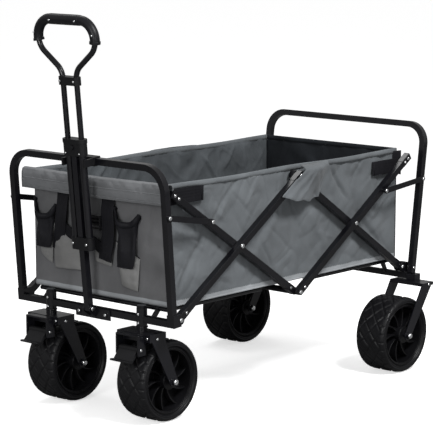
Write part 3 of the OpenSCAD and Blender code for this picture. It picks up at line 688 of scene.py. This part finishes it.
# ---------- floor cloth and the quilted mat on it ----------
def floor_surface(u, v):
    x = X0 + 1 + (X1 - X0 - 2) * u
    y = -TUB + 0.6 + (2 * TUB - 1.2) * v
    sag = 1.6 * math.sin(math.pi * u) * math.sin(math.pi * v) * (0.5 + fuzz(u * 6, v * 4, 2))
    return mm(x, y, 288.2 - sag)


ground_cloth = cloth("floor_cloth", floor_surface, 70, 40, 0.0015, [FLOOR, FLOOR])
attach(ground_cloth, "front_end")
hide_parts("tub_floor")
crumple(ground_cloth)

MAT_X0, MAT_LENGTH = -440, 876.0
MAT_Y0, MAT_WIDTH = -216, 432.0
MAT_LOW_Z = 289.1


def mat_height(x, y):
    """Quilted boards: four panels with sewn folds between them."""
    u, v = (x - MAT_X0) / MAT_LENGTH, (y - MAT_Y0) / MAT_WIDTH
    edge = window(u, 0.018) * window(v, 0.035)
    h = 9.0 * (edge ** 0.4)
    for fold in (0.25, 0.5, 0.75):
        h -= 5.2 * bell((u - fold) * MAT_LENGTH, 5)
    for channel in (0.333, 0.667):
        h -= 2.4 * bell((v - channel) * MAT_WIDTH, 4)
    h += 0.6 * fuzz(x * 0.02, y * 0.02, 5) * edge
    return max(0.2, h)


def quilted_mat():
    """Closed piece with the quilted top and a flat underside."""
    nx, ny = 176, 88
    verts = []
    for quilted in (True, False):
        for j in range(ny + 1):
            for i in range(nx + 1):
                x, y = MAT_X0 + MAT_LENGTH * i / nx, MAT_Y0 + MAT_WIDTH * j / ny
                verts.append(mm(x, y, MAT_LOW_Z + (mat_height(x, y) if quilted else 0)))
    faces = sheet_faces(nx, ny)[0]
    return make("floor_mat_quilted", verts, faces, [FLOOR])


mat_piece = quilted_mat()
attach(mat_piece, "front_end")
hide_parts("floor_mat")
crumple(mat_piece)

# ---------- folded band and organiser on the handle end ----------
# x and z of the band's section: up the back, over the cord, down the front
CUFF_SECTION = [(-447.9, 560), (-448.2, 574), (-452, 582), (-461, 584.0), (-469, 581),
                (-472, 572), (-472.6, 556), (-472.2, 545), (-471.6, 534)]


def cuff(u, v):
    """Cloth folded over a cord between the posts."""
    y = -243 + 486 * u
    k = v * (len(CUFF_SECTION) - 1)
    i = min(int(k), len(CUFF_SECTION) - 2)
    t = k - i
    before, after = CUFF_SECTION[i], CUFF_SECTION[i + 1]
    x = before[0] + (after[0] - before[0]) * t
    z = before[1] + (after[1] - before[1]) * t
    puff = 1.6 * fuzz(y * 0.014, v * 3, 9) + 1.3 * fuzz(y * 0.05, v * 5, 2)
    puff -= 1.5 * ridge(y * 0.03 + v * 2, v * 1.5, 6, narrow=5)
    puff += 1.8 * math.sin(math.pi * u) * (1 if v > 0.3 else 0)
    puff -= 1.2 * bell(v - 0.72, 0.03)
    z -= 2.2 * math.sin(math.pi * u) ** 2 * (1 if v > 0.2 else 0)
    return mm(x - puff * window(v, 0.2) * window(u, 0.06), y, z)


def cuff_seam(z):
    """Stitched line across the band's front."""
    path = []
    for k in range(61):
        sag = math.sin(math.pi * k / 60)
        path.append(mm(-473.9 - 1.6 * sag, -238 + 476 * k / 60, z - 2 * sag ** 2))
    seam = sweep(f"cuff_seam_{int(z)}", path, circle(0.0012, 6), CUFF)
    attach(seam, "front_end")


band = cloth("front_cuff_cloth", mirrored(lambda u, v: cuff(u, 1 - v)), 90, 36, 0.0017,
             [CUFF, INSIDE, CUFF], hem_below(0.05))
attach(band, "front_end")
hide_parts("front_cuff")
cuff_seam(560.5)
cuff_seam(539.5)


def strap(name, points, width, up=(0, 1, 0)):
    """Webbing strap through points in mm, its width along up."""
    path = smooth_path([mm(*p) for p in points], 7)
    ob = sweep(name, path, flat_section(width / 1000, 0.0022), WEB, upward=Vector(up))
    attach(ob, "front_end")
    return ob


left_strap = strap("organiser_strap_left", [
    (-451, -37, 566), (-454, -38, 530), (-461, -40, 500), (-461, -42, 465),
    (-461, -40, 430), (-461, -34, 402), (-460, -30, 380)], 40)
strap("organiser_strap_right", [
    (-451, 119, 566), (-453, 119, 520), (-458, 120, 480), (-457, 126, 440),
    (-454, 134, 405), (-451, 140, 385)], 36)
strap("organiser_sling_low", [
    (-461, -44, 398), (-462, -20, 408), (-463, 10, 424), (-463, 45, 428),
    (-458, 80, 430), (-455, 112, 445), (-452, 128, 462)], 26, up=(0, 0, 1))
strap("organiser_sling_mid", [
    (-452, -20, 470), (-457, 0, 474), (-458, 24, 476), (-455, 46, 480)], 22, up=(0, 0, 1))
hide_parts("organizer_straps")


def ladder_buckle():
    """A frame with four bars."""
    bars = [((-467.5, -20, z - 2), (-463, 22, z + 2)) for z in (457, 466, 475, 484)]
    cheeks = [((-468, y, 453), (-462.5, y + 4, 488)) for y in (-22, 20)]
    verts, faces = box_mesh(bars + cheeks)
    buckle = make("ladder_buckle", verts, faces, [PLASTIC], smooth=False)
    bevel = buckle.modifiers.new("round", "BEVEL")
    bevel.width, bevel.segments = 0.0009, 2
    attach(buckle, "front_end")


ladder_buckle()

# section of the loop that holds a cup open, in metres
LIP = [(0.0022, -0.007), (0.003, 0), (0.0022, 0.007), (-0.0022, 0.007), (-0.003, 0), (-0.0022, -0.007)]


def drink_pouch(name, yc, half_w, z_top, z_low, hang):
    """Half-collapsed mesh cup: a bound loop at the top and a tapering mesh bag behind and below it."""
    def f(u, v):
        a = math.pi * u
        r = half_w * (1 - 0.42 * v ** 1.3)
        depth = (20 * (1 - v) ** 0.7 + 5) * (0.55 + 0.45 * math.sin(a * 2 + 1.1) ** 2)
        y = yc - r * math.cos(a) + 5 * math.sin(6 * v + 2 * u)
        x = -449.6 - depth * math.sin(a) - 1.4 * math.sin(9 * u + 5 * v) * math.sin(a)
        x -= 11 * clamp((v - 0.3) / 0.3)
        z = z_top + (z_low - z_top) * v + hang * math.sin(a) * (1 - v) - 6 * math.cos(a) * (1 - v)
        return mm(x, y, z)
    bag = cloth(name, f, 48, 34, 0.0014, [DARK, DARK])
    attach(bag, "front_end")
    lip = sweep(name + "_rim", edge_line(f, 0.0, 48), LIP, WEB)
    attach(lip, "front_end")
    foot = sweep(name + "_foot", edge_line(f, 1.0, 40), circle(0.0022, 8), WEB)
    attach(foot, "front_end")
    return bag


left_cup = drink_pouch("mesh_cup_left", -100, 37, 505, 372, -30)
right_cup = drink_pouch("mesh_cup_right", 178, 34, 502, 392, -34)
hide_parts("cup_pouch_left")
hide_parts("cup_pouch_right")


def patch(name, outline, depth, seed):
    """A loose flat pocket over a four-sided outline (y, z), standing a little proud and puckered."""
    a, b, c, d = outline

    def f(u, v):
        y = (a[0] * (1 - u) + b[0] * u) * v + (d[0] * (1 - u) + c[0] * u) * (1 - v)
        z = (a[1] * (1 - u) + b[1] * u) * v + (d[1] * (1 - u) + c[1] * u) * (1 - v)
        lift = depth * (math.sin(math.pi * u) * math.sin(math.pi * (0.15 + 0.85 * v))) ** 0.6
        lift += 3.6 * fuzz(y * 0.04, z * 0.05, seed) * window(u, 0.15) * window(v, 0.15)
        return mm(-450.5 - max(0.4, lift), y, z)
    pocket = cloth(name, mirrored(f), 36, 28, 0.0014, [POCKET, POCKET])
    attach(pocket, "front_end")
    trim = sweep(name + "_edge", edge_line(f, 1.0, 30), circle(0.0014, 6), WEB)
    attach(trim, "front_end")


patch("pocket_centre", ((12, 424), (-46, 420), (-44, 366), (10, 374)), 6, 3)
patch("pocket_right", ((158, 452), (36, 432), (44, 346), (150, 340)), 8, 8)
patch("pocket_left", ((-58, 430), (-138, 396), (-130, 316), (-78, 326)), 10, 15)
patch("pocket_flap", ((206, 414), (152, 440), (160, 350), (198, 372)), 6, 21)

# ---------- finish of the frames, bars and mouldings ----------
FINISH = {
    "front_crossbar": PAINT, "handle_bracket": SATIN, "handle_clip": PLASTIC, "handle_block": PLASTIC,
    "handle_collar": PLASTIC, "handle_button": GRIP, "handle_clamp": PLASTIC, "handle_grip": GRIP,
    "middle_tube": PAINT, "handle_guides": PAINT, "handle_stem": SATIN, "handle_loop": PAINT,
}


def finish_of(name):
    if name.startswith("brake_pedal"):
        return PLASTIC
    if "hub" in name or "_rim_" in name:
        return HUB
    if name.startswith(("caster_fork", "rear_fork")):
        return SATIN
    return FINISH.get(name, PAINT)


for name, ob in frame["nodes"].items():
    for k in range(len(ob.data.materials)):
        ob.data.materials[k] = finish_of(name)

# ---------- rivets, bolts and screws ----------
BAR_ANGLE = math.radians(33.3926)  # of the open bars over the ground
BAR_LENGTH = 534.18  # from pivot to pivot
PIVOT_Z = 264
FRONT_X, REAR_X = -463.426, 463.102  # swivels and rear forks
CASTER_Y, REAR_Y = 154.0, 270.5  # middle of the front and rear wheels
FRONT_AXLE_X, REAR_AXLE_X = FRONT_X + 53.5, 371.0
AXLE_Z = 100


def on_bar(x, way, distance, y, r, h):
    """A rivet along a crossing bar from its lower pivot at x, the bar rising towards way."""
    along_x = x + way * distance * math.cos(BAR_ANGLE)
    return along_x, y, PIVOT_Z + distance * math.sin(BAR_ANGLE), r, h


def both(places):
    """Repeats near-side places (x, y > 0 outwards, z, radius, height) on both sides."""
    out = []
    for x, y, z, r, h in places:
        out.append((mm(x, -y, z), (0, -1, 0), r / 1000, h / 1000))
        out.append((mm(x, y, z), (0, 1, 0), r / 1000, h / 1000))
    return out


RIVETS = {
    "front_bars": [
        (-446, 265.3, PIVOT_Z, 5.6, 3.0), (-223, 262.2, 411, 5.6, 3.4), (0, 262.2, 558, 5.4, 3.0),
        on_bar(-446, 1, 26, 262, 3.9, 2.6), on_bar(-446, 1, BAR_LENGTH - 19, 262, 3.9, 2.6)],
    "front_cross_bars": [
        on_bar(0, -1, BAR_LENGTH - 19, 245, 4.0, 2.4), on_bar(0, -1, BAR_LENGTH - 3, 245, 4.0, 2.4),
        on_bar(0, -1, 20, 245, 3.6, 0.9)],
    "rear_bars": [(446, 248.5, PIVOT_Z, 5.6, 2.6), (223, 262.6, 411, 5.6, 3.4)],
    "rear_cross_bars": [
        (0, 262.2, PIVOT_Z, 5.6, 3.2), on_bar(0, 1, 20, 262, 3.9, 2.6),
        on_bar(0, 1, BAR_LENGTH - 19, 262, 4.0, 2.8), on_bar(0, 1, BAR_LENGTH - 3, 262, 4.0, 2.8)],
    "front_links": [(-483.4, 265.6, 510.0, 5.2, 3.2), (-333.2, 265.6, 483.65, 5.2, 3.2)],
    "rear_links": [(495.0, 275.6, 498.1, 5.2, 3.2), (333.2, 275.6, 483.65, 5.2, 3.2)],
}
for body, places in RIVETS.items():
    domes(f"rivets_{body}", both(places), body)

front_places = [(mm(FRONT_X - 13.4, y, 250), (-1, 0, 0), 0.0042, 0.0022) for y in (-44, 44)]
front_places += [(mm(FRONT_X - 12.8, s * CASTER_Y, z), (-1, 0, 0), 0.0034, 0.0024)
                 for s in (-1, 1) for z in (246, 268)]
front_places += [(mm(-462, s * 262.2, 262), (0, s, 0), 0.0036, 0.0022) for s in (-1, 1)]
domes("bolts_front_end", front_places, "front_end")

for s, word in ((-1, "left"), (1, "right")):
    yc = s * CASTER_Y
    places = []
    for o in (-1, 1):
        places.append((mm(FRONT_AXLE_X, yc + o * 58.8, AXLE_Z), (0, o, 0), 0.0074, 0.0058))
        places.append((mm(FRONT_X - 42, yc + o * 36.6, 190), (0, o, 0), 0.0036, 0.0022))
        places.append((mm(FRONT_X - 30.2, yc + o * 45, 217), (-1, 0, 0), 0.0034, 0.0022))
        places.append((mm(FRONT_X - 4, yc + o * 54, 214), (0, o, 0), 0.0038, 0.0022))
    domes(f"bolts_caster_{word}", places, f"caster_{word}")
    # collar ring under the swivel sleeve
    path = [mm(FRONT_X + 13.4 * c, yc + 13.4 * d, 237) for c, d in turn(32)]
    ring = sweep(f"swivel_washer_{word}", path, circle(0.0016, 8), SATIN, closed=True)
    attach(ring, f"caster_{word}")

rear_places = []
for s in (-1, 1):
    for o in (-1, 1):
        rear_places.append((mm(REAR_AXLE_X, s * REAR_Y + o * 58.8, AXLE_Z), (0, o, 0), 0.0074, 0.0058))
        rear_places.append((mm(REAR_X - 4, s * REAR_Y + o * 54, 224), (0, o, 0), 0.0036, 0.0022))
    rear_places.append((mm(REAR_X, s * 272.2, 262), (0, s, 0), 0.0038, 0.0022))
domes("bolts_rear_end", rear_places, "rear_end")

# ---------- handle ----------
LEAN = math.radians(5.5)
FORE = (-math.cos(LEAN), 0, -math.sin(LEAN))  # the way the handle's front looks


def on_handle(x, y, w):
    """Handle coordinates: x across its thickness, w along it from the pivot."""
    along_x = -487 + x * math.cos(LEAN) - w * math.sin(LEAN)
    return mm(along_x, y, 263 + x * math.sin(LEAN) + w * math.cos(LEAN))


low_screws = [(on_handle(-12.9, y, 163), FORE, 0.0034, 0.0020) for y in (-22.5, 22.5)]
low_screws += [(on_handle(-12.3, y, 384), FORE, 0.0024, 0.0012) for y in (-22.5, 22.5)]
low_screws += [(mm(-487, s * 14.0, 263), (0, s, 0), 0.0052, 0.0026) for s in (-1, 1)]
domes("screws_handle_lower", low_screws, "handle_lower")
high_screws = [(on_handle(-11.9, y, 556), FORE, 0.0030, 0.0016) for y in (-22.5, 22.5)]
high_screws += [(on_handle(-12.2, y, w), FORE, 0.0026, 0.0020)
                for y, w in ((42, 699), (-42, 699), (96, 668), (-96, 668))]
domes("screws_handle_upper", high_screws, "handle_upper")

# the loop leaves the stem by a bend, runs out at this angle and turns at the grip's corners
NECK_ANGLE = math.radians(52)
NECK_RADIUS, NECK_RUN, CORNER_RADIUS = 40, 49.3, 43.7


def grip_parting_line():
    """Fine moulding line over the grip: one corner, across the top, the other corner."""
    cosine, sine = math.cos(NECK_ANGLE), math.sin(NECK_ANGLE)
    corner_y = 22.5 + NECK_RADIUS * (1 - cosine) + NECK_RUN * sine - CORNER_RADIUS * cosine
    corner_w = 560 + NECK_RADIUS * sine + NECK_RUN * cosine + CORNER_RADIUS * sine

    def corner(s, degrees):
        a = math.radians(degrees)
        y = corner_y + CORNER_RADIUS * math.cos(a) + 11.6 * math.cos(a)
        return on_handle(0, s * y, corner_w + CORNER_RADIUS * math.sin(a) + 11.6 * math.sin(a))

    points = [corner(-1, -4 + 94 * k / 16) for k in range(17)]
    for k in range(1, 20):
        points.append(on_handle(0, -corner_y + 2 * corner_y * k / 20, corner_w + CORNER_RADIUS + 12.5))
    points += [corner(1, 90 - 94 * k / 16) for k in range(17)]
    seam = sweep("grip_parting_line", points, circle(0.0008, 6), PLASTIC, upward=Vector((1, 0, 0)))
    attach(seam, "handle_upper")


grip_parting_line()

# ---------- tyres ----------
TREAD_BLOCKS = 14
TREAD_PITCH = TAU * 100 / TREAD_BLOCKS
# radius and place across of one sidewall, from the rim to the shoulder
SIDEWALL = [(80.2, -30), (80.2, -37.6), (83.6, -38.6), (84.2, -42.4), (85.4, -44.6),
            (86.8, -44.9), (87.6, -43.9), (88.8, -43.9), (90.2, -45.4), (92.4, -45.3),
            (94.6, -44.2), (96.4, -42.4), (97.6, -40.2), (98.6, -37.2), (99.2, -34)]


def groove_distance(turns, share):
    """Distance in mm from the nearest groove of a row that repeats once a turn."""
    return abs((turns % 1) - 0.5) * TREAD_PITCH * share


def tread_depth(theta, y):
    """Depth in mm of the moulded pattern: crossed diagonal grooves, blocks on the shoulders."""
    s = theta / TAU * TREAD_BLOCKS
    groove = 0
    if abs(y) < 33:
        one = groove_distance(s + y / TREAD_PITCH * 1.25, 0.62)
        other = groove_distance(s - y / TREAD_PITCH * 1.25, 0.62)
        groove = max(math.exp(-(one / 1.9) ** 4), math.exp(-(other / 1.9) ** 4))
        # finer sipes inside the diamonds
        fine = groove_distance(2 * s + y / TREAD_PITCH * 2.5 + 0.5, 0.31)
        groove = max(groove, 0.35 * math.exp(-(fine / 0.9) ** 4))
    if 31 <= abs(y) <= 44:
        shoulder = groove_distance(2 * s + 0.25, 0.5)
        groove = max(groove, 0.9 * math.exp(-(shoulder / 1.8) ** 4))
    return 2.8 * groove


def tyre_mesh(name):
    """The sidewalls and the slightly crowned tread, turned about the wheel's axis."""
    section = SIDEWALL + [(99.6 + 0.38 * (1 - abs(y) / 32), y) for y in range(-32, 33, 2)]
    section += [(r, -y) for r, y in reversed(SIDEWALL)]
    n = 360
    m = len(section)
    verts, faces = [], []
    for i in range(n):
        angle = TAU * i / n
        for r, y in section:
            cut = r - (tread_depth(angle, y) if r > 95 else 0)
            verts.append((cut * math.cos(angle) / 1000, y / 1000, cut * math.sin(angle) / 1000))
        for k in range(m):
            a, b = i * m + k, i * m + (k + 1) % m
            c, d = ((i + 1) % n) * m + (k + 1) % m, ((i + 1) % n) * m + k
            faces.append((a, b, c, d))
    return make(name, verts, faces, [TYRE])


def wheel_ring(name, body, centre, s, radius, wire, off):
    """Thin raised ring on side s of a wheel, off mm from its middle."""
    path = [centre + Vector((radius * c, s * off, radius * d)) / 1000 for c, d in turn(72)]
    face = "in" if s > 0 else "out"
    ring = sweep(f"{name}_ring_{face}_{int(radius)}", path, circle(wire, 8), HUB,
                 closed=True, upward=Vector((0, 1, 0)))
    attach(ring, body)


first = None
for name in ("front_tyre_left", "front_tyre_right", "rear_tyre_left", "rear_tyre_right"):
    lo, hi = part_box(name)
    centre = (Vector(lo) + Vector(hi)) / 2
    if first is None:
        first = tyre_mesh(name + "_tread")
        ob = first
    else:
        ob = bpy.data.objects.new(name + "_tread", first.data)
        bpy.context.scene.collection.objects.link(ob)
    ob.location = centre
    bpy.context.view_layer.update()
    body = name.replace("tyre", "wheel")
    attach(ob, body)
    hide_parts(name)
    # edge of the rim and the hub's end, on both faces
    for s in (-1, 1):
        wheel_ring(name, body, centre, s, 78.6, 0.0017, 39.2)
        wheel_ring(name, body, centre, s, 20.5, 0.0014, 38.8)
